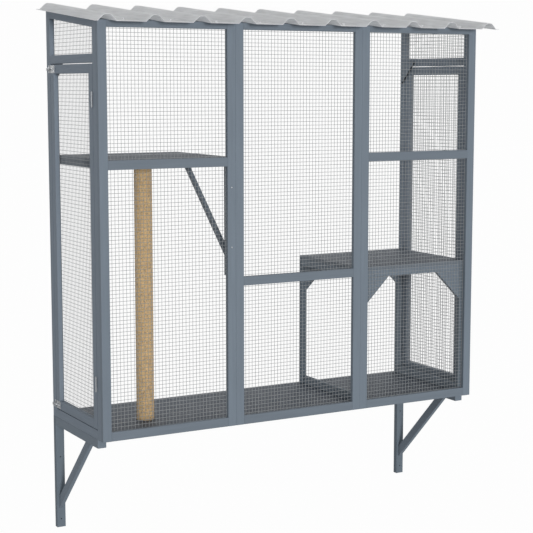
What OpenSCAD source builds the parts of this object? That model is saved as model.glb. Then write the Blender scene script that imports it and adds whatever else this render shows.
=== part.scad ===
// Window box enclosure for cats: a timber frame with wire mesh,
// two side doors, a shelf, a bench, a scratching post and a ribbed roof.
// It hangs on a wall, on two timber brackets.
// Sizes are in millimetres. Lengths are measured inside the box as
// x from the left outer face, y back from the front face and
// z up from the bottom edge of the front panels.

/* [Box] */
// Width over both side panels
box_w = 1500; // [1320:1:1700]
// Depth from the front face to the wall
box_d = 456; // [420:1:520]
// Height of the front face, up to the roof sheet
box_h = 1375; // [1340:1:1450]
// Slope of the roof, rising to the wall, in degrees
roof_slope = 6.3; // [3:0.1:9]

/* [Timber] */
// Face width of stiles, rails and struts
rail_w = 31; // [27:0.5:35]
// Thickness of the boards of the front panels, cleats and aprons
board_t = 15; // [12:0.5:18]
// Thickness of the boards of the side panels
side_t = 18.5; // [16:0.5:22]
// Width of the stiles of the side panels
side_stile_w = 31.5; // [28:0.5:36]
// Space between a closed door and the stop behind it
stop_clear = 1; // [0.5:0.1:2]

/* [Front panels] */
// Width of the left and right front panels
end_panel_w = 496.5; // [440:0.5:540]
// Underside of the left panel's middle rail
left_rail_z = 895.5; // [820:0.5:960]
// Underside of the middle panel's middle rail
middle_rail_z = 486; // [430:0.5:560]
// Underside of the right panel's middle rail
right_rail_z = 898; // [820:0.5:960]
// Height of the front panels' top rails
top_rail_h = 23; // [18:0.5:30]

/* [Side panels] */
// Height of the sloped top rails
side_top_h = 28; // [22:0.5:34]
// Height of the small window above a door, at its front end
window_h = 83.5; // [50:0.5:120]
// Height of the rail above the doors
header_h = 29; // [24:0.5:34]

/* [Mesh] */
// Pitch of the wires that are drawn
net_pitch = 88.9; // [75:0.1:120]
// Thickness of a wire
wire_t = 1.5; // [1:0.1:2]
// Depth from a panel's inner face to the mesh
net_inset = 2; // [1:0.1:4]

/* [Doors] */
// Gap at each side edge of a door
door_gap = 2; // [1.6:0.1:3]
// Gap above and below a door
door_gap_z = 2.5; // [2:0.1:5]
// Distance from a door's top edge down to the upper hinge's centre
upper_hinge_inset = 115; // [60:1:200]
// Distance from a door's bottom edge up to the lower hinge's centre
lower_hinge_inset = 154.5; // [80:0.5:260]
// Length of the side of a door stop
stop_leg = 82; // [70:1:100]
// Thickness of a door stop
stop_t = 9; // [8:0.5:12]

/* [Hinges] */
// Height of a hinge
hinge_h = 50; // [40:1:70]
// Outer radius of a knuckle
knuckle_r = 3; // [2.6:0.1:3.2]
// Radius of a hinge pin
hinge_pin_r = 1.5; // [1.2:0.05:1.7]
// Radial clearance of a hinge pin
pin_clear = 0.05; // [0.03:0.01:0.08]
// Distance of the hinge axis outside the door's face
hinge_reach = 3.5; // [3.4:0.1:5]
// Thickness of a hinge leaf
leaf_t = 1; // [0.8:0.1:1.2]
// Width of the leaf on a door
door_leaf_w = 12; // [10:0.5:20]
// Gap between two knuckles
knuckle_gap = 0.4; // [0.3:0.05:0.6]
// Distance of a door leaf's screws from its free edge
leaf_screw_inset = 4.2; // [3.5:0.1:4.5]
// Height of a hinge pin's head
pin_head_h = 0.8; // [0.5:0.1:1]
// Rim of that head round the pin
pin_head_rim = 0.8; // [0.5:0.1:1]

/* [Bolts] */
// Radius of a bolt's rod
rod_r = 3; // [2.5:0.1:3.5]
// Radial clearance of a rod in its guides
rod_clear = 0.1; // [0.05:0.01:0.1]
// Clearance round a rod in its keeper
keeper_clear = 0.4; // [0.3:0.05:0.6]
// Travel of a bolt
bolt_travel = 12; // [9:0.5:14]
// Height of a bolt's plate
plate_h = 26; // [22:0.5:30]
// Thickness of a bolt's plate
plate_t = 1.2; // [1:0.1:1.6]
// Width of a bolt's plate
plate_w = 38; // [37:0.5:44]
// Width of a keeper
keeper_w = 10; // [8:0.5:12]
// Length of a bolt's knob
knob_l = 9; // [6:0.5:12]
// Distance of a bolt plate's screws from its edges
plate_screw_inset = 4; // [3:0.1:4]

/* [Floor and shelf] */
// Thickness of the floor panel
floor_t = 15; // [12:0.5:18]
// Height of the rail along the wall under the floor
ledger_h = 32; // [28:0.5:40]
// Thickness of that rail and of the bracket legs
ledger_t = 20; // [16:0.5:26]
// Thickness of the shelf panel
shelf_t = 12; // [9:0.5:16]
// Height of the cleats under the shelf
cleat_h = 17.5; // [14:0.5:24]
// Gap between the shelf and the wall
shelf_wall_gap = 2; // [1:0.5:6]
// Lower end of the leg behind the shelf strut
shelf_leg_z = 523; // [480:1:560]
// Lower screw of that leg, as a share of its height
leg_screw_low = 0.25; // [0.15:0.01:0.4]
// Upper screw of that leg, as a share of its height
leg_screw_high = 0.77; // [0.6:0.01:0.85]
// Foot of the shelf strut
shelf_strut_z = 575.5; // [560:0.5:600]
// Width of the shelf strut
shelf_strut_w = 16; // [12:0.5:24]
// Angle of the shelf strut
shelf_strut_angle = 43; // [42:0.5:48]

/* [Bench] */
// Depth of the bench
bench_d = 424; // [380:1:428]
// Thickness of the bench top
bench_t = 12; // [9:0.5:16]
// Gap between the bench and the front panel
bench_front_gap = 2; // [1:0.5:4]
// Gap between the bench and the right side panel
bench_side_gap = 3; // [2:0.5:8]
// Offset of the bench from the joint of the front panels
bench_joint_gap = 4.5; // [2:0.5:10]
// Width of a bench leg
leg_w = 24; // [18:0.5:30]
// Depth of a bench leg
leg_d = 16; // [12:0.5:24]
// Height of the bench aprons
apron_h = 27; // [20:0.5:36]
// Length of the side of a front corner gusset
gusset_leg = 105; // [80:1:130]
// Length of the side of a rear corner gusset
rear_gusset_leg = 96; // [75:1:130]

/* [Scratching post] */
// Outer diameter of the wrapped post
post_d = 62; // [50:1:80]
// Thickness of the sisal wrap
wrap_t = 4; // [2:0.5:6]
// Distance of the post from the left outer face
post_x = 237; // [180:1:300]
// Distance of the post from the front face
post_y = 187; // [140:1:240]

/* [Wall brackets] */
// Length of a bracket leg below the box
bracket_leg_l = 408; // [380:1:460]
// Distance from the front face to a bracket arm
arm_front = 48; // [30:1:90]
// Lower end of a bracket strut, below the box
bracket_strut_z = 338; // [310:1:350]
// Thickness of a bracket strut
bracket_strut_t = 14; // [10:0.5:18]
// Radius of the wall screw holes
wall_hole_r = 2.5; // [2:0.1:3.5]
// Upper hole in a bracket leg, below the box
upper_hole_z = 150; // [110:1:200]
// Lower hole in a bracket leg, below the box
lower_hole_z = 378; // [365:1:378]
// Distance between the wall holes in the long rails
rail_hole_pitch = 1200; // [900:1:1250]

/* [Roof] */
// Overhang at the left side
roof_left = 36; // [15:1:50]
// Overhang at the right side
roof_right = 56; // [15:1:60]
// Overhang at the front
roof_front = 62; // [30:1:80]
// Gap between the sheet and the wall
roof_wall_gap = 4; // [3:0.5:8]
// Number of ribs
rib_count = 10; // [6:1:12]
// Distance from a side edge of the sheet to the first rib's centre
rib_edge = 45; // [34:1:60]
// Width of a rib at its foot
rib_w = 64; // [54:1:66]
// Width of a rib's flat crest
crest_w = 14; // [8:0.5:20]
// Width of the sloped shoulder beside a crest
shoulder_w = 6; // [4:0.5:7]
// Drop of that shoulder
shoulder_drop = 3; // [1.5:0.1:3.5]
// Height of a rib
rib_h = 21.5; // [16:0.5:26]
// Thickness of the sheet
sheet_t = 1.5; // [1:0.1:2.5]
// Height of the rail along the wall under the roof
rear_rail_h = 31; // [26:0.5:40]

/* [Screws] */
// Radius of a small screw head
screw_r = 2.2; // [1.8:0.1:2.6]
// Height of a small screw head
screw_h = 0.8; // [0.5:0.1:1]
// Radius of a roof screw's washer
washer_r = 6; // [5:0.5:6.5]
// Thickness of that washer
washer_t = 1; // [0.8:0.1:2]
// Radius of a roof screw's six-sided head
hex_r = 4; // [3:0.1:4.5]
// Height of that head
hex_h = 3; // [2:0.1:5]

/* [Hidden] */

// Flat sides of small round trim, and of small screw heads.
small_sides = 12;
head_sides = 8;

paint = "#7a838c";
board_grey = "#4c4f54";
wire_grey = "#9ea0a3";
zinc = "#c4c8cc";
sisal = "#ab9270";
sheet_grey = "#b9b9b9";

// Doors are thinner than the side panels, so a closed door clears its stop.
door_t = side_t - stop_clear;
// Corners of the three front panels along x.
joint_left = end_panel_w;
joint_right = box_w - end_panel_w;
// Ends of the doorway and of the door along y.
doorway_front = board_t + side_stile_w;
doorway_back = box_d - side_stile_w;
// Underside of the rail above the doors.
header_z = roof_z(doorway_front) - side_top_h - window_h - header_h;
door_front = doorway_front + door_gap;
door_back = doorway_back - door_gap;
door_bottom = rail_w + door_gap_z;
door_top = header_z - door_gap_z;
// Centre heights of the bolts, on the door's rails.
bolt_heights = [door_bottom + rail_w / 2, door_top - rail_w / 2];
hinge_heights = [door_bottom + lower_hinge_inset, door_top - upper_hinge_inset];
// Hinge axis.
hinge_x = -hinge_reach;
hinge_y = doorway_front + door_gap / 2;
bore_r = hinge_pin_r + pin_clear;
knuckle_h = (hinge_h - 2 * knuckle_gap) / 4;
// Bolt: the rod runs in two guides and enters the keeper.
rod_stand = 0.8;
rod_x = -plate_t - rod_r - rod_stand;
guide_w = 6;
guide_r = rod_r + rod_clear;
guide_wall = 1.5;
plate_margin = 1;
plate_screw_rise = plate_h / 2 - plate_screw_inset;
guide_margin = 2;
plate_back = door_back - plate_margin;
plate_front = plate_back - plate_w;
guide_ends = [plate_front + guide_margin, plate_back - guide_margin - guide_w];
rod_tip = plate_back;
rod_tail = guide_ends[0] + guide_w / 2 - bolt_travel;
knob_r = 3;
knob_head = 4;
knob_margin = 2.5;
knob_y = guide_ends[0] + guide_w + knob_margin + knob_r;
keeper_front = doorway_back + guide_margin;
keeper_r = rod_r + keeper_clear;
// Shelf.
shelf_z = left_rail_z + rail_w - shelf_t;
cleat_z = shelf_z - cleat_h;
shelf_back = box_d - shelf_wall_gap;
shelf_leg_shift = 1;
shelf_leg_x = [joint_left - rail_w + shelf_leg_shift, joint_left + shelf_leg_shift];
cleat_joint = 2;
shelf_edge_gap = 2;
strut_mid_x = (shelf_leg_x[0] + shelf_leg_x[1]) / 2;
// Bench.
bench_x = [joint_right + bench_joint_gap, box_w - side_t - bench_side_gap];
bench_y = [board_t + bench_front_gap, board_t + bench_front_gap + bench_d];
bench_z = middle_rail_z + rail_w;
bench_under = bench_z - bench_t;
apron_z = bench_under - apron_h;
// Wall brackets.
bracket_leg_y = [box_d - ledger_t, box_d];
bracket_mid_x = rail_w / 2;
// Ribs of the roof sheet.
sheet_w = box_w + roof_left + roof_right;
rib_pitch = (sheet_w - 2 * rib_edge) / (rib_count - 1);
sheet_l = (box_d + roof_front - roof_wall_gap) / cos(roof_slope);
web_angle = atan((rib_h - shoulder_drop) / (rib_w / 2 - crest_w / 2 - shoulder_w));
shoulder_angle = atan(shoulder_drop / shoulder_w);
rear_rail_z = box_h + box_d * tan(roof_slope) - rear_rail_h;

// Underside of the roof sheet's troughs at the distance y from the front.
function roof_z(y) = box_h + y * tan(roof_slope);

// A block between the low and high ends given for each axis.
module block(x, y, z) {
    translate([x[0], y[0], z[0]])
        cube([x[1] - x[0], y[1] - y[0], z[1] - z[0]]);
}

// A plate whose outline lies in y and z.
module side_plate(outline, x) {
    translate([x[0], 0, 0])
        rotate([90, 0, 90])
            linear_extrude(x[1] - x[0])
                polygon(outline);
}

// A plate whose outline lies in x and z.
module front_plate(outline, y) {
    translate([0, y[1], 0])
        rotate([90, 0, 0])
            linear_extrude(y[1] - y[0])
                polygon(outline);
}

// A board that rises from z to the slope of the roof.
module roofed_board(x, y, z) {
    side_plate([[y[0], z], [y[1], z], [y[1], roof_z(y[1])], [y[0], roof_z(y[0])]], x);
}

// Round rod along y, or a rod with the given number of flat sides.
module rod_y(r, y, sides = 32) {
    translate([0, y[1], 0])
        rotate([90, 0, 0])
            cylinder(h = y[1] - y[0], r = r, $fn = sides);
}

// Moves a piece from the box's own corner to the middle of the wall rail.
module placed() {
    translate([-box_w / 2, -box_d, ledger_h / 2])
        children();
}

// The right-hand twin of a left-hand piece.
module twin() {
    translate([box_w, 0, 0])
        mirror([1, 0, 0])
            children();
}

// Flat net of crossing wires. Its top edge runs from h0 to h1.
module net_outline(w, h0, h1) {
    columns = max(1, round(w / net_pitch));
    rows = max(1, round(h0 / net_pitch));
    column_w = (w - wire_t) / columns;
    row_h = (h0 - wire_t) / rows;
    difference() {
        polygon([[0, 0], [w, 0], [w, h1], [0, h0]]);
        for (i = [0 : columns - 1]) {
            for (j = [0 : rows - 1]) {
                u0 = i * column_w + wire_t;
                u1 = (i + 1) * column_w;
                v0 = j * row_h + wire_t;
                v1 = (j + 1) * row_h;
                rise = j == rows - 1 ? (h1 - h0) / w : 0;
                polygon([[u0, v0], [u1, v0], [u1, v1 + rise * u1], [u0, v1 + rise * u0]]);
            }
        }
    }
}

// Net in a front panel, between the low and high ends of its opening.
module front_net(x, z) {
    translate([x[0], board_t - net_inset, z[0]])
        rotate([90, 0, 0])
            linear_extrude(wire_t)
                net_outline(x[1] - x[0], z[1] - z[0], z[1] - z[0]);
}

// Net in a side panel or door.
module side_net(y, z, z_back) {
    translate([door_t - net_inset - wire_t, y[0], z[0]])
        rotate([90, 0, 90])
            linear_extrude(wire_t)
                net_outline(y[1] - y[0], z[1] - z[0], z_back - z[0]);
}

// Stiles of a front panel.
module panel_stiles(x) {
    color(paint) placed() {
        roofed_board([x[0], x[0] + rail_w], [0, board_t], 0);
        roofed_board([x[1] - rail_w, x[1]], [0, board_t], 0);
    }
}

// Bottom, middle and top rails of a front panel.
module panel_rails(x, rail_z) {
    inner = [x[0] + rail_w, x[1] - rail_w];
    color(paint) placed() {
        block(inner, [0, board_t], [0, rail_w]);
        block(inner, [0, board_t], [rail_z, rail_z + rail_w]);
        roofed_board(inner, [0, board_t], box_h - top_rail_h);
    }
}

// Lower and upper nets of a front panel.
module panel_mesh(x, rail_z) {
    inner = [x[0] + rail_w, x[1] - rail_w];
    color(wire_grey) placed() {
        front_net(inner, [rail_w, rail_z]);
        front_net(inner, [rail_z + rail_w, box_h - top_rail_h]);
    }
}

left_bay = [0, joint_left];
middle_bay = [joint_left, joint_right];
right_bay = [joint_right, box_w];

module front_left_stiles() { panel_stiles(left_bay); }
module front_left_rails() { panel_rails(left_bay, left_rail_z); }
module front_left_mesh() { panel_mesh(left_bay, left_rail_z); }
module front_middle_stiles() { panel_stiles(middle_bay); }
module front_middle_rails() { panel_rails(middle_bay, middle_rail_z); }
module front_middle_mesh() { panel_mesh(middle_bay, middle_rail_z); }
module front_right_stiles() { panel_stiles(right_bay); }
module front_right_rails() { panel_rails(right_bay, right_rail_z); }
module front_right_mesh() { panel_mesh(right_bay, right_rail_z); }

// Front and rear stile of a side panel.
module side_stiles() {
    roofed_board([0, side_t], [board_t, doorway_front], 0);
    roofed_board([0, side_t], [doorway_back, box_d], 0);
}

// Bottom rail, the rail above the door and the sloped top rail.
module side_rails() {
    y = [doorway_front, doorway_back];
    block([0, side_t], y, [0, rail_w]);
    block([0, side_t], y, [header_z, header_z + header_h]);
    side_plate([[y[0], roof_z(y[0]) - side_top_h],
                [y[1], roof_z(y[1]) - side_top_h],
                [y[1], roof_z(y[1])],
                [y[0], roof_z(y[0])]], [0, side_t]);
}

// Net of the small window above a door.
module window_mesh() {
    y = [doorway_front, doorway_back];
    side_net(y, [header_z + header_h, roof_z(y[0]) - side_top_h], roof_z(y[1]) - side_top_h);
}

// Triangular stop behind the door's upper rear corner.
module door_stop() {
    corner_y = doorway_back + side_stile_w / 2;
    corner_z = header_z + header_h / 2;
    side_plate([[corner_y, corner_z],
                [corner_y - stop_leg, corner_z],
                [corner_y, corner_z - stop_leg]], [side_t, side_t + stop_t]);
}

module left_side_stiles() { color(paint) placed() side_stiles(); }
module left_side_rails() { color(paint) placed() side_rails(); }
module left_window_mesh() { color(wire_grey) placed() window_mesh(); }
module left_door_stop() { color(paint) placed() door_stop(); }
module right_side_stiles() { color(paint) placed() twin() side_stiles(); }
module right_side_rails() { color(paint) placed() twin() side_rails(); }
module right_window_mesh() { color(wire_grey) placed() twin() window_mesh(); }
module right_door_stop() { color(paint) placed() twin() door_stop(); }

// Rail along the wall under the roof, with two wall holes.
module rear_top_rail() {
    color(paint) placed() difference() {
        roofed_board([side_t, box_w - side_t], [box_d - board_t, box_d], rear_rail_z);
        rail_holes([box_d - board_t - 1, box_d + 1], rear_rail_z + rear_rail_h / 2);
    }
}

// Rail along the wall under the floor, with two wall holes.
module rear_floor_rail() {
    color(paint) placed() difference() {
        block([rail_w, box_w - rail_w], bracket_leg_y, [-ledger_h, 0]);
        rail_holes([bracket_leg_y[0] - 1, box_d + 1], -ledger_h / 2);
    }
}

// The two wall holes of a long rail.
module rail_holes(y, z) {
    for (side = [-1, 1])
        translate([box_w / 2 + side * rail_hole_pitch / 2, 0, z])
            rod_y(wall_hole_r, y);
}

module floor_panel() {
    color(board_grey) placed()
        block([side_t, box_w - side_t], [board_t, box_d], [0, floor_t]);
}

// Middle of a rib.
function rib_x(k) = rib_edge - roof_left + k * rib_pitch;

// Corner between slopes a and b, moved a distance up from the sheet's underside.
function raised(point, a, b, up) =
    point + up / cos((a - b) / 2) * [-sin((a + b) / 2), cos((a + b) / 2)];

// Left half of a rib's profile, from its foot to its crest.
function half_rib(up) =
    [raised([-rib_w / 2, 0], 0, web_angle, up),
     raised([-crest_w / 2 - shoulder_w, rib_h - shoulder_drop], web_angle, shoulder_angle, up),
     raised([-crest_w / 2, rib_h], shoulder_angle, 0, up)];

function mirrored(list) = [for (point = reversed(list)) [-point[0], point[1]]];

function sheet_line(up) =
    concat([[-roof_left, up]],
           [for (k = [0 : rib_count - 1])
               for (point = concat(half_rib(up), mirrored(half_rib(up))))
                   point + [rib_x(k), 0]],
           [[box_w + roof_right, up]]);

function reversed(list) = [for (i = [len(list) - 1 : -1 : 0]) list[i]];

// Lifts a piece from a level plane to the slope of the roof.
module on_roof() {
    translate([0, -roof_front, roof_z(-roof_front)])
        rotate([roof_slope, 0, 0])
            children();
}

module roof_sheet() {
    color(sheet_grey) placed() on_roof()
        front_plate(concat(sheet_line(0), reversed(sheet_line(sheet_t))), [0, sheet_l]);
}

// Screws with washers in the troughs, over the front and rear rails.
module roof_screws() {
    rows = [roof_front + board_t / 2, roof_front + box_d - roof_wall_gap - washer_r];
    color(sheet_grey) placed() on_roof()
        for (k = [0 : rib_count - 2])
            for (row = rows)
                translate([rib_x(k + 0.5), row / cos(roof_slope), sheet_t])
                    roof_screw();
}

module roof_screw() {
    cylinder(h = washer_t, r = washer_r, $fn = small_sides);
    translate([0, 0, washer_t])
        cylinder(h = hex_h, r = hex_r, $fn = 6);
}

module shelf_panel() {
    color(board_grey) placed()
        block([side_t + shelf_edge_gap, joint_left], [board_t, shelf_back], [shelf_z, shelf_z + shelf_t]);
}

// Cleats under the shelf: at the side panel, the front, the wall and the strut.
module shelf_cleats() {
    z = [cleat_z, shelf_z];
    front_y = [board_t, 2 * board_t];
    back_y = [shelf_back - board_t, shelf_back];
    across = [side_t + board_t + cleat_joint, shelf_leg_x[0] - cleat_joint];
    color(paint) placed() {
        block([side_t, side_t + board_t], [board_t, box_d], z);
        block(across, front_y, z);
        block(across, back_y, z);
        block([strut_mid_x - board_t / 2, strut_mid_x + board_t / 2], [2 * board_t, shelf_back], z);
    }
}

module shelf_bracket_leg() {
    color(paint) placed()
        block(shelf_leg_x, [board_t, 2 * board_t], [shelf_leg_z, shelf_z]);
}

// Slanted strut from the leg's back up to the cleat.
module shelf_bracket_strut() {
    y0 = 2 * board_t;
    foot = shelf_strut_z;
    reach = (cleat_z - foot) / tan(shelf_strut_angle);
    color(paint) placed()
        side_plate([[y0, foot],
                    [y0, foot + shelf_strut_w / cos(shelf_strut_angle)],
                    [y0 + reach - shelf_strut_w / sin(shelf_strut_angle), cleat_z],
                    [y0 + reach, cleat_z]],
                   [strut_mid_x - board_t / 2, strut_mid_x + board_t / 2]);
}

module bench_top() {
    color(board_grey) placed()
        block(bench_x, bench_y, [bench_under, bench_z]);
}

module bench_legs() {
    color(paint) placed()
        for (x = [bench_x[0], bench_x[1] - leg_w])
            for (y = [bench_y[0], bench_y[1] - leg_d])
                block([x, x + leg_w], [y, y + leg_d], [floor_t, bench_under]);
}

// Aprons between the legs, flush with their outer faces.
module bench_aprons() {
    inner_x = [bench_x[0] + leg_w, bench_x[1] - leg_w];
    inner_y = [bench_y[0] + leg_d, bench_y[1] - leg_d];
    z = [apron_z, bench_under];
    color(paint) placed() {
        block(inner_x, [bench_y[0], bench_y[0] + board_t], z);
        block(inner_x, [bench_y[1] - board_t, bench_y[1]], z);
        block([bench_x[0], bench_x[0] + board_t], inner_y, z);
        block([bench_x[1] - board_t, bench_x[1]], inner_y, z);
    }
}

// Triangular plates in the corners of the front and rear aprons.
module bench_gussets() {
    color(paint) placed() {
        gusset_pair(bench_y[0], gusset_leg);
        gusset_pair(bench_y[1] - board_t, rear_gusset_leg);
    }
}

// Left and right gusset with their front face at y.
module gusset_pair(y, size) {
    left = bench_x[0] + leg_w;
    right = bench_x[1] - leg_w;
    front_plate([[left, apron_z], [left, apron_z - size], [left + size, apron_z]], [y, y + board_t]);
    front_plate([[right, apron_z], [right - size, apron_z], [right, apron_z - size]], [y, y + board_t]);
}

// Rails on the floor between the front and rear legs.
module bench_bottom_rails() {
    y = [bench_y[0] + leg_d, bench_y[1] - leg_d];
    z = [floor_t, floor_t + rail_w];
    color(paint) placed() {
        block([bench_x[0] + leg_w - board_t, bench_x[0] + leg_w], y, z);
        block([bench_x[1] - leg_w, bench_x[1] - leg_w + board_t], y, z);
    }
}

module post_core() {
    color("#b08a5c") placed()
        translate([post_x, post_y, floor_t])
            cylinder(h = shelf_z - floor_t, d = post_d - 2 * wrap_t, $fn = 64);
}

module sisal_wrap() {
    color(sisal) placed()
        translate([post_x, post_y, floor_t])
            difference() {
                cylinder(h = shelf_z - floor_t, d = post_d, $fn = 64);
                translate([0, 0, -1])
                    cylinder(h = shelf_z - floor_t + 2, d = post_d - 2 * wrap_t, $fn = 64);
            }
}

// Leg of a wall bracket, with its two wall holes.
module bracket_leg() {
    difference() {
        block([0, rail_w], bracket_leg_y, [-bracket_leg_l, 0]);
        for (z = [upper_hole_z, lower_hole_z])
            translate([bracket_mid_x, 0, -z])
                rod_y(wall_hole_r, [bracket_leg_y[0] - 1, box_d + 1]);
    }
}

// Strut at 45 degrees between the arm and the leg.
module bracket_strut() {
    face = bracket_leg_y[0];
    end = rail_w * sqrt(2);
    reach = bracket_strut_z - rail_w;
    side_plate([[face - reach, -rail_w],
                [face - reach + end, -rail_w],
                [face, end - bracket_strut_z],
                [face, -bracket_strut_z]],
               [bracket_mid_x - bracket_strut_t / 2, bracket_mid_x + bracket_strut_t / 2]);
}

module bracket_legs() {
    color(paint) placed() {
        bracket_leg();
        twin() bracket_leg();
    }
}

module bracket_arms() {
    color(paint) placed() {
        block([0, rail_w], [arm_front, bracket_leg_y[0]], [-rail_w, 0]);
        twin() block([0, rail_w], [arm_front, bracket_leg_y[0]], [-rail_w, 0]);
    }
}

module bracket_struts() {
    color(paint) placed() {
        bracket_strut();
        twin() bracket_strut();
    }
}

// Repeats a hinge piece at each hinge, with its lower end at z = 0.
module at_hinges() {
    for (z = hinge_heights)
        translate([0, 0, z - hinge_h / 2])
            children();
}

// Ends of the three knuckles: frame, door, frame.
lower_knuckle = [0, knuckle_h];
door_knuckle = [knuckle_h + knuckle_gap, hinge_h - knuckle_h - knuckle_gap];
upper_knuckle = [hinge_h - knuckle_h, hinge_h];

module knuckle(z) {
    translate([hinge_x, hinge_y, z[0]])
        cylinder(h = z[1] - z[0], r = knuckle_r, $fn = small_sides);
}

module pin_bore() {
    translate([hinge_x, hinge_y, -1])
        cylinder(h = hinge_h + 2, r = bore_r, $fn = 32);
}

// Leaf on the stile's rear edge, inside the gap, with its two knuckles.
module frame_leaf() {
    y = [doorway_front, doorway_front + leaf_t];
    difference() {
        union() {
            block([0, door_t], y, [0, hinge_h]);
            for (z = [lower_knuckle, upper_knuckle]) {
                knuckle(z);
                block([hinge_x, leaf_t], y, z);
            }
        }
        pin_bore();
    }
}

// Leaf on the door's outer face, cut back round the frame's knuckles.
module door_leaf() {
    clearance = 0.3;
    edge = hinge_y + knuckle_r + clearance;
    difference() {
        union() {
            block([-leaf_t, 0], [edge, door_front + door_leaf_w], [0, hinge_h]);
            block([-leaf_t, 0], [hinge_y + clearance, edge + leaf_t], door_knuckle);
            knuckle(door_knuckle);
        }
        pin_bore();
    }
}

// Hinge pin with a flat head at each end.
module hinge_pin() {
    head_r = hinge_pin_r + pin_head_rim;
    translate([hinge_x, hinge_y, -pin_head_h]) {
        cylinder(h = hinge_h + 2 * pin_head_h, r = hinge_pin_r, $fn = 32);
        cylinder(h = pin_head_h, r = head_r, $fn = small_sides);
        translate([0, 0, hinge_h + pin_head_h])
            cylinder(h = pin_head_h, r = head_r, $fn = small_sides);
    }
}

module left_hinge_frame_leaves() { color(zinc) placed() at_hinges() frame_leaf(); }
module right_hinge_frame_leaves() { color(zinc) placed() twin() at_hinges() frame_leaf(); }
module left_hinge_door_leaves() { color(zinc) placed() at_hinges() door_leaf(); }
module right_hinge_door_leaves() { color(zinc) placed() twin() at_hinges() door_leaf(); }
module left_hinge_pins() { color(zinc) placed() at_hinges() hinge_pin(); }
module right_hinge_pins() { color(zinc) placed() twin() at_hinges() hinge_pin(); }

// Block that holds the rod, between the plate's face and round the rod.
module rod_block(y, z) {
    wide = guide_r + guide_wall;
    difference() {
        union() {
            translate([rod_x, 0, z])
                rod_y(wide, y, small_sides);
            block([rod_x, 0], y, [z - wide, z + wide]);
        }
        translate([rod_x, 0, z])
            rod_y(guide_r, [y[0] - 1, y[1] + 1]);
    }
}

// Plate on the door with two guides for the rod.
module bolt_plate(z) {
    block([-plate_t, 0], [plate_front, plate_back], [z - plate_h / 2, z + plate_h / 2]);
    for (y = guide_ends)
        rod_block([y, y + guide_w], z);
}

// Keeper on the rear stile: a square loop round the rod, on a plate.
module bolt_keeper(z) {
    y = [keeper_front, keeper_front + keeper_w];
    wide = keeper_r + guide_wall;
    difference() {
        union() {
            block([-plate_t, 0], y, [z - plate_h / 2, z + plate_h / 2]);
            block([rod_x - wide, 0], y, [z - wide, z + wide]);
        }
        block([rod_x - keeper_r, rod_x + keeper_r], [y[0] - 1, y[1] + 1], [z - keeper_r, z + keeper_r]);
    }
}

// Sliding rod with its knob, drawn back.
module door_bolt(z) {
    translate([rod_x, 0, z])
        rod_y(rod_r, [rod_tail, rod_tip]);
    translate([rod_x, knob_y, z])
        rotate([0, -90, 0]) {
            cylinder(h = rod_r + knob_l - knob_head, r = knob_r - 1, $fn = small_sides);
            translate([0, 0, rod_r + knob_l - knob_head])
                cylinder(h = knob_head, r = knob_r, $fn = small_sides);
        }
}

module left_bolt_plates() { color(zinc) placed() for (z = bolt_heights) bolt_plate(z); }
module right_bolt_plates() { color(zinc) placed() twin() for (z = bolt_heights) bolt_plate(z); }
module left_bolt_keepers() { color(zinc) placed() for (z = bolt_heights) bolt_keeper(z); }
module right_bolt_keepers() { color(zinc) placed() twin() for (z = bolt_heights) bolt_keeper(z); }
module left_bottom_bolt() { color(zinc) placed() door_bolt(bolt_heights[0]); }
module left_top_bolt() { color(zinc) placed() door_bolt(bolt_heights[1]); }
module right_bottom_bolt() { color(zinc) placed() twin() door_bolt(bolt_heights[0]); }
module right_top_bolt() { color(zinc) placed() twin() door_bolt(bolt_heights[1]); }

// Door frame and its net.
module door_stiles() {
    block([0, door_t], [door_front, door_front + rail_w], [door_bottom, door_top]);
    block([0, door_t], [door_back - rail_w, door_back], [door_bottom, door_top]);
}

module door_rails() {
    y = [door_front + rail_w, door_back - rail_w];
    block([0, door_t], y, [door_bottom, door_bottom + rail_w]);
    block([0, door_t], y, [door_top - rail_w, door_top]);
}

module door_mesh() {
    y = [door_front + rail_w, door_back - rail_w];
    z = [door_bottom + rail_w, door_top - rail_w];
    side_net(y, z, z[1]);
}

module left_door_stiles() { color(paint) placed() door_stiles(); }
module left_door_rails() { color(paint) placed() door_rails(); }
module left_door_mesh() { color(wire_grey) placed() door_mesh(); }
module right_door_stiles() { color(paint) placed() twin() door_stiles(); }
module right_door_rails() { color(paint) placed() twin() door_rails(); }
module right_door_mesh() { color(wire_grey) placed() twin() door_mesh(); }

// Screw head on a side face, standing out from the given thickness.
module side_screw(y, z, out) {
    translate([-out, y, z])
        rotate([0, -90, 0])
            cylinder(h = screw_h, r = screw_r, $fn = head_sides);
}

// Screws of a door's hinge leaves and bolt plates.
module door_screws() {
    for (z = hinge_heights)
        for (up = [-hinge_h / 4, hinge_h / 4])
            side_screw(door_front + door_leaf_w - leaf_screw_inset, z + up, leaf_t);
    for (z = bolt_heights)
        for (up = [-plate_screw_rise, plate_screw_rise])
            for (y = [plate_front + plate_screw_inset, plate_back - plate_screw_inset])
                side_screw(y, z + up, plate_t);
}

module left_door_screws() { color(zinc) placed() door_screws(); }
module right_door_screws() { color(zinc) placed() twin() door_screws(); }

// Screws of the keepers.
module keeper_screws() {
    for (z = bolt_heights)
        for (up = [-plate_screw_rise, plate_screw_rise])
            side_screw(keeper_front + keeper_w / 2, z + up, plate_t);
}

// Keeper screws, and two screws through the stile into the shelf bracket's leg.
module frame_screws() {
    color(zinc) placed() {
        keeper_screws();
        twin() keeper_screws();
        for (share = [leg_screw_low, leg_screw_high])
            translate([joint_left - rail_w / 2, 0, shelf_leg_z + share * (shelf_z - shelf_leg_z)])
                rotate([90, 0, 0])
                    cylinder(h = screw_h, r = screw_r, $fn = head_sides);
    }
}

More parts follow.
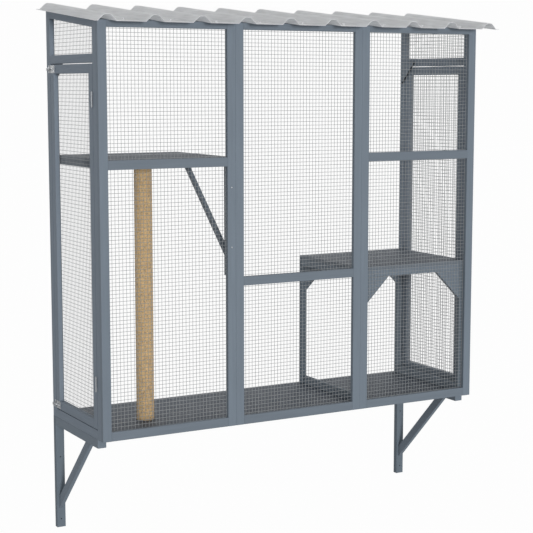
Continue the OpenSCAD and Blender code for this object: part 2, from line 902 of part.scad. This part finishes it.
front_left_stiles();
front_left_rails();
front_left_mesh();
front_middle_stiles();
front_middle_rails();
front_middle_mesh();
front_right_stiles();
front_right_rails();
front_right_mesh();
left_side_stiles();
left_side_rails();
left_window_mesh();
left_door_stop();
right_side_stiles();
right_side_rails();
right_window_mesh();
right_door_stop();
rear_top_rail();
rear_floor_rail();
floor_panel();
roof_sheet();
roof_screws();
shelf_panel();
shelf_cleats();
shelf_bracket_leg();
shelf_bracket_strut();
bench_top();
bench_legs();
bench_aprons();
bench_gussets();
bench_bottom_rails();
post_core();
sisal_wrap();
bracket_legs();
bracket_arms();
bracket_struts();
left_hinge_frame_leaves();
left_hinge_pins();
left_bolt_keepers();
right_hinge_frame_leaves();
right_hinge_pins();
right_bolt_keepers();
frame_screws();
left_door_stiles();
left_door_rails();
left_door_mesh();
left_hinge_door_leaves();
left_bolt_plates();
left_door_screws();
right_door_stiles();
right_door_rails();
right_door_mesh();
right_hinge_door_leaves();
right_bolt_plates();
right_door_screws();
left_top_bolt();
left_bottom_bolt();
right_top_bolt();
right_bottom_bolt();
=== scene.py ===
"""Looks of the window box enclosure: timber, welded mesh, roof sheet, sisal post and hardware."""
import math
import random

import bpy
import numpy as np
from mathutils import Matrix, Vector


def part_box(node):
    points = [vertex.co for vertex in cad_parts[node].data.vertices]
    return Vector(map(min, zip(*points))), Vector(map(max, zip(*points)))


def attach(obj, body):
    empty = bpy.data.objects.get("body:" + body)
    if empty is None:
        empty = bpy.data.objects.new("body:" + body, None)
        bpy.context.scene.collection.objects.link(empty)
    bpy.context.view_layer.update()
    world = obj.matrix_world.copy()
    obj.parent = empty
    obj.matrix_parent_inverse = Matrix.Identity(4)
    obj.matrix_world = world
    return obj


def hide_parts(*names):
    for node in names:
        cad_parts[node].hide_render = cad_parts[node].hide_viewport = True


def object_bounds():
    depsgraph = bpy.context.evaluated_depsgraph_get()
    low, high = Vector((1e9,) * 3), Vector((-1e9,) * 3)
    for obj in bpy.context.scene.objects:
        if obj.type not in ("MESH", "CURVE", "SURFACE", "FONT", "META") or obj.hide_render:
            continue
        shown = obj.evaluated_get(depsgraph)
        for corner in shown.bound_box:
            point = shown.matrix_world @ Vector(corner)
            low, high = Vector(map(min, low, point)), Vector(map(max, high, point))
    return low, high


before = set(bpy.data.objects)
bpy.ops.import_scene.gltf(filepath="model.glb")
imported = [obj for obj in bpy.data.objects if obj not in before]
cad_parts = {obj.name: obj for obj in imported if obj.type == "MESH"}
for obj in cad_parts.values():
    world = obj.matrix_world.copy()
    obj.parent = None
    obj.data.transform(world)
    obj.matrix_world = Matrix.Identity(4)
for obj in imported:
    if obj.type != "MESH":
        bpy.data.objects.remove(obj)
cad_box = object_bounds()

MM = 0.001

# ---------------------------------------------------------------- sizes, in metres
WIRE_PITCH = 12.7 * MM
WIRE_R = 0.68 * MM
WIRE_TUCK = 2 * MM          # how far a wire's end lies inside the timber
WIRE_JITTER = 0.04 * MM     # how far a wire strays from its place in the pitch
SAME_END = 0.01 * MM        # corners this near to a net's end belong to it
WELD_GAP = 0.001 * MM       # corners this near to each other are one
EDGE_ROUND = 1.1 * MM       # rounding of the timber's edges
SHEET_ROUND = 0.3 * MM
METAL_ROUND = 0.15 * MM
WEAVE_CELL = 5.2 * MM       # one crossing of the sisal's weave
WEAVE_RELIEF = 0.9 * MM
WEAVE_STEPS = 5             # points along one crossing
WEAVE_SEED = 11
SLEEVE_T = 3.9 * MM

# ---------------------------------------------------------------- camera
CAMERA_AT = (-2.51319, -4.70034, 1.18604)
CAMERA_YAW = 29.268         # degrees to the right of +Y
CAMERA_PITCH = 7.300        # degrees below the horizon
CAMERA_LENS = 95.99
CAMERA_REACH = 100

# ---------------------------------------------------------------- light and floor
SUN_ENERGY = 1.7
SUN_ANGLE = 11              # degrees across
SUN_FROM = (-0.16, -0.98, 0.075)
WORLD_FILL = 0.5            # the white world, as diffuse light on the object
WORLD_SEEN = 0.984          # as the camera and reflections see it: no horizon shows at the floor
FLOOR_HALF = 30.0
FLOOR_DROP = 0.35           # from the object's lowest point down to the floor
FLOOR_WHITE = (0.9, 0.9, 0.9, 1)
FLOOR_GLOW = 0.97           # share of glow in the floor as the camera sees it


def srgb(r, g, b):
    """Linear colour of an sRGB one, given as 0 to 255."""
    def linear(c):
        c /= 255
        return c / 12.92 if c <= 0.04045 else ((c + 0.055) / 1.055) ** 2.4
    return (linear(r), linear(g), linear(b), 1)


# ---------------------------------------------------------------- colours
PAINT = srgb(112, 123, 134)
PAINT_RAIL = srgb(107, 117, 127)
# painted light: a lighter copy of the paint for the side panels and doors, whose faces catch less
# of the light
PAINT_SIDE_PAINTED_LIGHT = srgb(118, 129, 141)
# painted shade: a darker copy of the paint for the bracket and bench legs, which stand back in
# shade
PAINT_LOW_PAINTED_SHADE = srgb(100, 111, 121)
STOP_EDGE_PAINTED_SHADE = srgb(52, 56, 61)  # painted shade on the door stops' edges, for the shadow gap between stop and door
BOARD = srgb(67, 77, 89)
# the boards' painted edges, made lighter so that they look as bright as the top: partly painted
# light
BOARD_EDGE_PAINT_AND_PAINTED_LIGHT = srgb(106, 115, 124)
WIRE = srgb(146, 149, 151)
ZINC = srgb(186, 188, 190)
LEAF = srgb(146, 150, 154)
SCREW = srgb(226, 228, 230)
SHEET = srgb(238, 239, 240)
# painted highlight on the roof sheet's edges
SHEET_EDGE_HIGHLIGHT = srgb(240, 241, 243)
SHEET_GLOW = 0.45            # share of the light that the roof sheet lets through
SISAL = srgb(219, 183, 134)
SISAL_WARM = srgb(211, 179, 126)
WOOD = srgb(196, 160, 116)


def make_camera():
    data = bpy.data.cameras.new("camera")
    data.lens = CAMERA_LENS
    data.clip_end = CAMERA_REACH
    camera = bpy.data.objects.new("camera", data)
    camera.location = CAMERA_AT
    camera.rotation_euler = (math.radians(90 - CAMERA_PITCH), 0, math.radians(-CAMERA_YAW))
    bpy.context.scene.collection.objects.link(camera)
    bpy.context.scene.camera = camera


# ---------------------------------------------------------------- node helpers
class Material:
    """A node material with a Principled shader, and short calls for its nodes."""

    def __init__(self, name, color, roughness, metallic=0.0):
        self.mat = bpy.data.materials.new(name)
        self.mat.use_nodes = True
        self.tree = self.mat.node_tree
        self.shader = self.tree.nodes["Principled BSDF"]
        self.shader.inputs["Base Color"].default_value = color
        self.shader.inputs["Roughness"].default_value = roughness
        self.shader.inputs["Metallic"].default_value = metallic
        self.place = self.add("ShaderNodeTexCoord").outputs["Object"]

    def add(self, kind, **settings):
        node = self.tree.nodes.new(kind)
        for key, value in settings.items():
            setattr(node, key, value)
        return node

    def join(self, source, target):
        self.tree.links.new(source, target)

    def stretched(self, scale, turn=(0, 0, 0), shift=None):
        """Coordinates stretched along the piece's own axes, then turned and shifted.

        The stretch comes first, so a turn moves the pattern but not the way its streaks run.
        """
        mapping = self.add("ShaderNodeMapping")
        mapping.inputs["Scale"].default_value = scale
        mapping.inputs["Rotation"].default_value = turn
        self.join(self.place, mapping.inputs["Vector"])
        if shift is not None:
            self.join(shift, mapping.inputs["Location"])
        return mapping.outputs["Vector"]

    def noise(self, where, scale, detail=3.0, rough=0.5, warp=0.0):
        node = self.add("ShaderNodeTexNoise")
        node.inputs["Scale"].default_value = scale
        node.inputs["Detail"].default_value = detail
        node.inputs["Roughness"].default_value = rough
        node.inputs["Distortion"].default_value = warp
        self.join(where, node.inputs["Vector"])
        return node.outputs["Fac"]

    def spread(self, value, low, high, source=(0.3, 0.7)):
        """A value moved from the source range to low and high."""
        node = self.add("ShaderNodeMapRange")
        node.inputs["From Min"].default_value = source[0]
        node.inputs["From Max"].default_value = source[1]
        node.inputs["To Min"].default_value = low
        node.inputs["To Max"].default_value = high
        self.join(value, node.inputs["Value"])
        return node.outputs["Result"]

    def math(self, operation, a, b):
        node = self.add("ShaderNodeMath", operation=operation)
        for socket, value in zip(node.inputs, (a, b)):
            if isinstance(value, (int, float)):
                socket.default_value = value
            else:
                self.join(value, socket)
        return node.outputs["Value"]

    def times(self, first, *others):
        """The product of two or more values."""
        for other in others:
            first = self.math("MULTIPLY", first, other)
        return first

    def tint(self, color, share):
        """The colour multiplied by a grey share."""
        node = self.add("ShaderNodeVectorMath", operation="SCALE")
        if isinstance(color, tuple):
            node.inputs[0].default_value = color[:3]
        else:
            self.join(color, node.inputs[0])
        self.join(share, node.inputs["Scale"])
        return node.outputs["Vector"]

    def mix(self, share, a, b):
        node = self.add("ShaderNodeMix", data_type="RGBA")
        self.join(share, node.inputs["Factor"])
        for key, value in ((6, a), (7, b)):
            if isinstance(value, tuple):
                node.inputs[key].default_value = value
            else:
                self.join(value, node.inputs[key])
        return node.outputs[2]

    def facing(self, axis):
        """How squarely a face looks along an axis of its piece, either way: from 0 to 1."""
        parts = self.add("ShaderNodeSeparateXYZ")
        self.join(self.add("ShaderNodeTexCoord").outputs["Normal"], parts.inputs["Vector"])
        return self.math("ABSOLUTE", parts.outputs[axis], 0)

    def island(self):
        """A random share from 0 to 1 for each board or wire of a piece."""
        return self.add("ShaderNodeNewGeometry").outputs["Random Per Island"]

    def color(self, value):
        self.join(value, self.shader.inputs["Base Color"])

    def roughness(self, value):
        self.join(value, self.shader.inputs["Roughness"])

    def bump(self, height, distance, strength):
        node = self.add("ShaderNodeBump")
        node.inputs["Distance"].default_value = distance
        node.inputs["Strength"].default_value = strength
        self.join(height, node.inputs["Height"])
        self.join(node.outputs["Normal"], self.shader.inputs["Normal"])

    def let_through(self, color, share):
        """Light that passes through the piece, scattered."""
        through = self.add("ShaderNodeBsdfTranslucent")
        self.join(color, through.inputs["Color"])
        mix = self.add("ShaderNodeMixShader")
        mix.inputs["Fac"].default_value = share
        self.join(self.shader.outputs["BSDF"], mix.inputs[1])
        self.join(through.outputs["BSDF"], mix.inputs[2])
        self.join(mix.outputs["Shader"], self.tree.nodes["Material Output"].inputs["Surface"])


def timber(name, color, along, turn=(0, 0, 0), shaded_edges=None):
    """Painted softwood: grain along one of the piece's axes, boards of slightly different tone.

    An edge colour, where given, is painted shade on a side plate's edges, for the shadow gap along
    them; faces that look along X keep the paint.
    """
    m = Material(name, color, 0.55)
    m.shader.inputs["Specular IOR Level"].default_value = 0.3
    island = m.island()
    across, length = 95, 5      # bands of grain in a metre
    finer = 5                   # pores for each band
    apart = 37                  # moves each board to its own place in the grain
    scale = [across] * 3
    scale["XYZ".index(along)] = length
    bands = m.stretched(scale, turn, m.times(island, apart))
    grain = m.noise(bands, 1, detail=5, rough=0.6, warp=0.4)
    pores = m.noise(m.stretched([finer * s for s in scale], turn), 1, detail=2)
    cloud = m.noise(m.place, 4, detail=2)
    tone = m.times(m.spread(grain, 0.955, 1.045), m.spread(cloud, 0.975, 1.025),
                   m.spread(island, 0.965, 1.035, (0, 1)))
    if shaded_edges:
        # painted shade on the plate's edges, on all but the faces that look along X
        color = m.mix(m.spread(m.facing("X"), 0.0, 1.0, (0.6, 0.9)), shaded_edges, color)
    m.color(m.tint(color, tone))
    m.roughness(m.spread(pores, 0.5, 0.68))
    m.bump(m.math("ADD", grain, m.times(pores, 0.35)), distance=0.0006, strength=0.55)
    return m.mat


def coated_board(name, color, edge):
    """Dark coated board with edges much lighter than its top, partly a real painted edge and partly
    painted light that evens the less lit edge faces with the top: fine grit, faint scuffs and
    clouds.
    """
    m = Material(name, color, 0.62)
    grit = m.noise(m.place, 900, detail=2, rough=0.6)
    cloud = m.noise(m.place, 7)
    scuff = m.noise(m.stretched([8, 60, 8]), 1, detail=4, rough=0.65, warp=0.8)
    tone = m.times(m.spread(cloud, 0.95, 1.05), m.spread(scuff, 0.95, 1.06),
                   m.spread(grit, 0.93, 1.07))
    # edges take the lighter edge colour: partly painted edges, partly painted light that evens them
    # with the top
    color = m.mix(m.spread(m.facing("Z"), 0.0, 1.0, (0.4, 0.8)), edge, color)
    m.color(m.tint(color, tone))
    m.roughness(m.spread(scuff, 0.52, 0.72))
    m.bump(grit, distance=0.0004, strength=0.4)
    return m.mat


def steel_wire(name, color):
    """Galvanised wire: mostly dull, with brighter and darker stretches."""
    m = Material(name, color, 0.5, 0.1)
    patch = m.noise(m.place, 60, detail=2)
    tone = m.times(m.spread(patch, 0.88, 1.1), m.spread(m.island(), 0.94, 1.06, (0, 1)))
    m.color(m.tint(color, tone))
    m.roughness(m.spread(patch, 0.35, 0.55))
    m.bump(m.noise(m.place, 1500, detail=2), distance=0.0002, strength=0.2)
    return m.mat


def zinc_plate(name, color, metal=0.85, rough=(0.24, 0.42)):
    """Zinc on pressed steel: crystal patches and fine rolling lines."""
    m = Material(name, color, rough[0], metal)
    patch = m.noise(m.place, 180, detail=2)
    lines = m.noise(m.stretched([40, 40, 1800]), 1, detail=2)
    tone = m.times(m.spread(patch, 0.88, 1.08), m.spread(lines, 0.95, 1.05))
    m.color(m.tint(color, tone))
    m.roughness(m.spread(patch, *rough))
    m.bump(lines, distance=0.0001, strength=0.25)
    return m.mat


def roof_plastic(name, color):
    """Milky ribbed sheet that lets light through: soft gloss, flow lines, and a painted highlight
    along its edges.
    """
    m = Material(name, color, 0.38)
    lines = m.noise(m.stretched([160, 3, 160]), 1)
    cloud = m.noise(m.place, 9, detail=2)
    tone = m.times(m.spread(lines, 0.93, 1.05), m.spread(cloud, 0.97, 1.03))
    # painted highlight on the sheet's ends and sides
    end_highlight = m.spread(m.facing("Y"), 0.0, 1.0, (0.6, 0.9))
    sides = m.spread(m.facing("X"), 0.0, 1.0, (0.85, 0.95))
    shade = m.mix(m.math("MAXIMUM", end_highlight, sides), m.tint(color, tone), SHEET_EDGE_HIGHLIGHT)
    m.color(shade)
    m.let_through(shade, SHEET_GLOW)
    m.roughness(m.spread(cloud, 0.32, 0.46))
    m.bump(lines, distance=0.0003, strength=0.3)
    return m.mat


def sisal_mat(name, color):
    """Woven sisal: strands of different tan, with dark flecks."""
    m = Material(name, color, 0.9)
    m.shader.inputs["Sheen Weight"].default_value = 0.25
    m.shader.inputs["Sheen Roughness"].default_value = 0.6
    strand = m.noise(m.stretched([420, 420, 130]), 1, rough=0.6)
    patch = m.noise(m.place, 95, rough=0.55)
    hair = m.noise(m.place, 1400, rough=0.6)
    fleck = m.noise(m.place, 230, detail=2)
    tone = m.times(m.spread(strand, 0.74, 1.22), m.spread(patch, 0.8, 1.18),
                   m.spread(fleck, 0.5, 1.04, (0.3, 0.46)), m.spread(hair, 0.86, 1.1))
    warm = m.mix(m.spread(patch, 0.0, 1.0), color, SISAL_WARM)
    m.color(m.tint(warm, tone))
    m.bump(hair, distance=0.0006, strength=0.6)
    return m.mat


def bare_wood(name, color):
    """Unpainted wood with upright grain."""
    m = Material(name, color, 0.6)
    grain = m.noise(m.stretched([90, 90, 6]), 1, detail=5, rough=0.6, warp=0.6)
    m.color(m.tint(color, m.spread(grain, 0.82, 1.12)))
    m.roughness(m.spread(grain, 0.5, 0.7))
    m.bump(grain, distance=0.0004, strength=0.4)
    return m.mat


# ---------------------------------------------------------------- frame helpers
def dress(node, material, edge=0.0, segments=2, bored=False):
    """Gives a CAD node its material and rounds its edges.

    A bored board's flat faces are joined first.
    """
    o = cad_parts[node]
    o.data.materials.clear()
    o.data.materials.append(material)
    if edge:
        weld = o.modifiers.new("weld", "WELD")
        weld.merge_threshold = WELD_GAP
        if bored:
            flat = o.modifiers.new("flat", "DECIMATE")
            flat.decimate_type = "DISSOLVE"
            flat.angle_limit = math.radians(2)
        bevel = o.modifiers.new("round", "BEVEL")
        bevel.width = edge
        bevel.segments = segments
        bevel.limit_method = "ANGLE"
        bevel.angle_limit = math.radians(30)
        bevel.harden_normals = True


def islands(node):
    """Each separate solid of a node, as an array of its corners."""
    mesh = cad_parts[node].data
    points = np.array([v.co for v in mesh.vertices]).reshape(-1, 3)
    keys = {}
    label = [keys.setdefault(tuple(np.round(p, 6)), len(keys)) for p in points]
    root = list(range(len(keys)))

    def find(i):
        while root[i] != i:
            root[i] = root[root[i]]
            i = root[i]
        return i

    for edge in mesh.edges:
        a, b = find(label[edge.vertices[0]]), find(label[edge.vertices[1]])
        root[max(a, b)] = min(a, b)
    groups = {}
    for point, number in zip(points, label):
        groups.setdefault(find(number), []).append(point)
    return [np.array(g) for _, g in sorted(groups.items())]


def mesh_piece(name, points, faces, material, body, smooth=False):
    """A new piece from points and faces, riding on a body."""
    data = bpy.data.meshes.new(name)
    data.from_pydata([tuple(p) for p in points], [], faces)
    data.validate()
    data.materials.append(material)
    if smooth:
        data.polygons.foreach_set("use_smooth", [True] * len(data.polygons))
    o = bpy.data.objects.new(name, data)
    bpy.context.scene.collection.objects.link(o)
    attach(o, body)
    return o


def add_rod(points, faces, start, end, radius, sides=6):
    """Adds a straight round rod between two points to the lists."""
    start, end = Vector(start), Vector(end)
    line = (end - start).normalized()
    side = line.orthogonal().normalized()
    up = line.cross(side)
    first = len(points)
    for centre in (start, end):
        for k in range(sides):
            a = 2 * math.pi * (k + 0.5) / sides
            points.append(centre + radius * (math.cos(a) * side + math.sin(a) * up))
    for k in range(sides):
        n = (k + 1) % sides
        faces.append((first + k, first + n, first + sides + n, first + sides + k))
    faces.append(tuple(first + k for k in reversed(range(sides))))
    faces.append(tuple(first + sides + k for k in range(sides)))


# ---------------------------------------------------------------- pieces
def welded_net(name, node, body, material, seed):
    """Welded mesh in place of a node's coarse net: uprights inside, crossing wires outside."""
    rng = random.Random(seed)
    points, faces = [], []
    for corners in islands(node):
        low, high = corners.min(0), corners.max(0)
        flat = int(np.argmin(high - low))
        run = 1 - flat
        depth = (low[flat] + high[flat]) / 2
        outward = 1 if flat == 0 and low[flat] > 0 else -1

        def at(u, z, layer):
            p = [0.0, 0.0, z]
            p[run] = u
            p[flat] = depth + outward * layer
            return p

        u0, u1, z0 = low[run], high[run], low[2]
        near = corners[np.abs(corners[:, run] - u0) < SAME_END][:, 2].max()
        far = corners[np.abs(corners[:, run] - u1) < SAME_END][:, 2].max()
        lower, upper = min(near, far), max(near, far)

        def top(u):
            return near + (far - near) * (u - u0) / (u1 - u0)

        def slope_end(z):
            return u0 + (u1 - u0) * (z - near) / (far - near)

        columns = int((u1 - u0) / WIRE_PITCH)
        margin = (u1 - u0 - columns * WIRE_PITCH) / 2
        for k in range(columns + 1):
            u = u0 + margin + k * WIRE_PITCH + rng.uniform(-WIRE_JITTER, WIRE_JITTER)
            if u - u0 < WIRE_R or u1 - u < WIRE_R:
                continue
            foot, head = z0 - WIRE_TUCK, top(u) + WIRE_TUCK
            add_rod(points, faces, at(u, foot, -WIRE_R), at(u, head, -WIRE_R), WIRE_R)
        rows = int((upper - z0) / WIRE_PITCH)
        start = z0 + (lower - z0 - int((lower - z0) / WIRE_PITCH) * WIRE_PITCH) / 2
        for k in range(rows + 1):
            z = start + k * WIRE_PITCH + rng.uniform(-WIRE_JITTER, WIRE_JITTER)
            if z > upper - WIRE_R or z < z0 + WIRE_R:
                continue
            left = slope_end(z) if z > near and far > near else u0
            right = slope_end(z) if z > far and near > far else u1
            left, right = left - WIRE_TUCK, right + WIRE_TUCK
            add_rod(points, faces, at(left, z, WIRE_R), at(right, z, WIRE_R), WIRE_R)
    piece = mesh_piece(name, points, faces, material, body)
    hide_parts(node)


def woven_sleeve(material):
    """Sisal mat round the post, with the weave as real relief."""
    low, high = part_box("sisal_wrap")
    radius = (high.x - low.x) / 2
    centre = (low + high) / 2
    columns = round(2 * math.pi * radius / WEAVE_CELL)
    rows = round((high.z - low.z) / WEAVE_CELL)
    around, upward = columns * WEAVE_STEPS, rows * WEAVE_STEPS
    rng = random.Random(WEAVE_SEED)
    lift = [[rng.uniform(0.6, 1.0) for _ in range(columns)] for _ in range(rows)]
    points, faces = [], []

    def add_point(r, i, z):
        a = 2 * math.pi * i / around
        points.append((centre.x + r * math.cos(a), centre.y + r * math.sin(a), z))

    for j in range(upward + 1):
        z = low.z + (high.z - low.z) * j / upward
        for i in range(around):
            column, row = i // WEAVE_STEPS, min(j // WEAVE_STEPS, rows - 1)
            across = (i % WEAVE_STEPS + 0.5) / WEAVE_STEPS
            along = (j % WEAVE_STEPS + 0.5) / WEAVE_STEPS
            if (column + row) % 2:      # the level strand is on top here, not the upright one
                across, along = along, across
            bulge = (math.sin(math.pi * across) ** 0.6
                     * (0.55 + 0.45 * math.sin(math.pi * along)))
            add_point(radius - WEAVE_RELIEF * (1 - bulge * lift[row][column]), i, z)
    for j in range(upward):
        below, above = j * around, (j + 1) * around
        for i in range(around):
            n = (i + 1) % around
            faces.append((below + i, below + n, above + n, above + i))
    top = upward * around
    first = len(points)
    for z in (low.z, high.z):
        for i in range(around):
            add_point(radius - SLEEVE_T, i, z)
    for i in range(around):
        n = (i + 1) % around
        faces.append((i, first + i, first + n, n))
        faces.append((top + n, first + around + n, first + around + i, top + i))
        faces.append((first + i, first + around + i, first + around + n, first + n))
    piece = mesh_piece("sisal_sleeve", points, faces, material, "frame", smooth=True)
    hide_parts("sisal_wrap")


# ---------------------------------------------------------------- stage
def make_stage():
    """White floor that glows for the camera, reflects for the object and is clear from below."""
    data = bpy.data.meshes.new("floor")
    half, level = FLOOR_HALF, cad_box[0].z - FLOOR_DROP
    corners = [(-half, -half), (half, -half), (half, half), (-half, half)]
    data.from_pydata([(x, y, level) for x, y in corners], [], [(0, 1, 2, 3)])
    floor = bpy.data.objects.new("floor", data)
    bpy.context.scene.collection.objects.link(floor)
    mat = bpy.data.materials.new("floor_white")
    mat.use_nodes = True
    nodes, join = mat.node_tree.nodes, mat.node_tree.links.new
    nodes.clear()
    out = nodes.new("ShaderNodeOutputMaterial")
    diffuse = nodes.new("ShaderNodeBsdfDiffuse")
    diffuse.inputs["Color"].default_value = FLOOR_WHITE
    glow = nodes.new("ShaderNodeEmission")
    glow.inputs["Strength"].default_value = 1
    ray = nodes.new("ShaderNodeLightPath")
    share = nodes.new("ShaderNodeMath")
    share.operation = "MULTIPLY"
    share.inputs[1].default_value = FLOOR_GLOW
    join(ray.outputs["Is Camera Ray"], share.inputs[0])
    mix = nodes.new("ShaderNodeMixShader")
    join(share.outputs["Value"], mix.inputs["Fac"])
    join(diffuse.outputs["BSDF"], mix.inputs[1])
    join(glow.outputs["Emission"], mix.inputs[2])
    clear = nodes.new("ShaderNodeBsdfTransparent")
    side = nodes.new("ShaderNodeNewGeometry")
    one_way = nodes.new("ShaderNodeMixShader")
    join(side.outputs["Backfacing"], one_way.inputs["Fac"])
    join(mix.outputs["Shader"], one_way.inputs[1])
    join(clear.outputs["BSDF"], one_way.inputs[2])
    join(one_way.outputs["Shader"], out.inputs["Surface"])
    data.materials.append(mat)


def make_light():
    """Nearly level sun from the front, and a white world that is brighter where it is seen."""
    world = bpy.data.worlds.new("world")
    bpy.context.scene.world = world
    world.use_nodes = True
    nodes, join = world.node_tree.nodes, world.node_tree.links.new
    background = nodes["Background"]
    ray = nodes.new("ShaderNodeLightPath")
    seen = ray.outputs["Is Camera Ray"]
    for kind in ("Is Glossy Ray", "Is Transmission Ray"):
        either = nodes.new("ShaderNodeMath")
        either.operation = "MAXIMUM"
        join(seen, either.inputs[0])
        join(ray.outputs[kind], either.inputs[1])
        seen = either.outputs["Value"]
    level = nodes.new("ShaderNodeMapRange")
    level.inputs["To Min"].default_value = WORLD_FILL
    level.inputs["To Max"].default_value = WORLD_SEEN
    join(seen, level.inputs["Value"])
    join(level.outputs["Result"], background.inputs["Strength"])
    background.inputs["Color"].default_value = (1, 1, 1, 1)
    lamp = bpy.data.lights.new("key", "SUN")
    lamp.energy = SUN_ENERGY
    lamp.angle = math.radians(SUN_ANGLE)
    key = bpy.data.objects.new("key", lamp)
    key.rotation_euler = Vector(SUN_FROM).to_track_quat("Z", "Y").to_euler()
    bpy.context.scene.collection.objects.link(key)


# ---------------------------------------------------------------- the object
make_camera()
make_stage()
make_light()

PAINT_UP = timber("paint_upright", PAINT, "Z")
PAINT_ACROSS = timber("paint_across", PAINT_RAIL, "X")
PAINT_BACK = timber("paint_back", PAINT, "Y")
PAINT_STRUT = timber("paint_strut", PAINT, "Y", (math.radians(45), 0, 0))
# the legs carry the darker paint, which is painted shade
PAINT_LEG_PAINTED_SHADE = timber("paint_leg_painted_shade", PAINT_LOW_PAINTED_SHADE, "Z")
# painted light: the bench aprons take the frame paint, lighter than the other rails, to lift the
# shade they sit in
PAINT_APRON_PAINTED_LIGHT = timber("paint_apron_painted_light", PAINT, "X")
# the side panels and doors carry the lighter paint, which is painted light
SIDE_UP_PAINTED_LIGHT = timber("side_upright_painted_light", PAINT_SIDE_PAINTED_LIGHT, "Z")
SIDE_BACK_PAINTED_LIGHT = timber("side_back_painted_light", PAINT_SIDE_PAINTED_LIGHT, "Y")
PAINT_RISE = timber("paint_rise", PAINT, "Y", (math.radians(-43), 0, 0))
DARK_BOARD = coated_board("dark_board", BOARD, BOARD_EDGE_PAINT_AND_PAINTED_LIGHT)
MESH_WIRE = steel_wire("mesh_wire", WIRE)
ZINC_PLATE = zinc_plate("zinc", ZINC)
SCREW_HEAD = zinc_plate("screw_head", SCREW)
HINGE_LEAF = zinc_plate("hinge_leaf", LEAF, 0.5, (0.45, 0.62))
# the door stops carry painted shade on their edges
PAINT_STOP_PAINTED_SHADE = timber("paint_stop_painted_shade", PAINT, "Z", shaded_edges=STOP_EDGE_PAINTED_SHADE)
ROOF = roof_plastic("roof", SHEET)
SISAL_MAT = sisal_mat("sisal_mat", SISAL)
BARE_WOOD = bare_wood("bare_wood", WOOD)

FINISHES = {
    PAINT_UP: ["front_left_stiles", "front_middle_stiles", "front_right_stiles",
               "shelf_bracket_leg", "bench_gussets"],
    SIDE_UP_PAINTED_LIGHT: ["left_side_stiles", "right_side_stiles", "left_door_stiles", "right_door_stiles"],
    PAINT_STOP_PAINTED_SHADE: ["left_door_stop", "right_door_stop"],
    PAINT_ACROSS: ["front_left_rails", "front_middle_rails", "front_right_rails", "rear_top_rail",
                   "rear_floor_rail", "shelf_cleats"],
    PAINT_APRON_PAINTED_LIGHT: ["bench_aprons"],
    PAINT_BACK: ["bench_bottom_rails", "bracket_arms"],
    SIDE_BACK_PAINTED_LIGHT: ["left_side_rails", "right_side_rails", "left_door_rails", "right_door_rails"],
    PAINT_LEG_PAINTED_SHADE: ["bracket_legs", "bench_legs"],
    PAINT_STRUT: ["bracket_struts"],
    PAINT_RISE: ["shelf_bracket_strut"],
    DARK_BOARD: ["floor_panel", "shelf_panel", "bench_top"],
}
BORED = ["bracket_legs", "rear_top_rail", "rear_floor_rail"]
for material, nodes in FINISHES.items():
    for node in nodes:
        dress(node, material, EDGE_ROUND, bored=node in BORED)

HARDWARE = {
    HINGE_LEAF: ["_hinge_frame_leaves", "_hinge_door_leaves", "_hinge_pins"],
    ZINC_PLATE: ["_bolt_keepers", "_bolt_plates", "_door_screws", "_top_bolt", "_bottom_bolt"],
}
for material, endings in HARDWARE.items():
    for ending in endings:
        for side in ("left", "right"):
            dress(side + ending, material, METAL_ROUND, 1)

dress("roof_sheet", ROOF, SHEET_ROUND)
dress("roof_screws", ROOF, METAL_ROUND, 1)
dress("frame_screws", SCREW_HEAD, METAL_ROUND, 1)
dress("post_core", BARE_WOOD)

NETS = [("front_left_mesh", "frame"), ("front_middle_mesh", "frame"), ("front_right_mesh", "frame"),
        ("left_window_mesh", "frame"), ("right_window_mesh", "frame"),
        ("left_door_mesh", "left_door"), ("right_door_mesh", "right_door")]
for number, (node, body) in enumerate(NETS):
    welded_net(node.replace("_mesh", "_wires"), node, body, MESH_WIRE, number)

woven_sleeve(SISAL_MAT)

bpy.context.scene.view_settings.view_transform = "Standard"
bpy.context.view_layer.update()
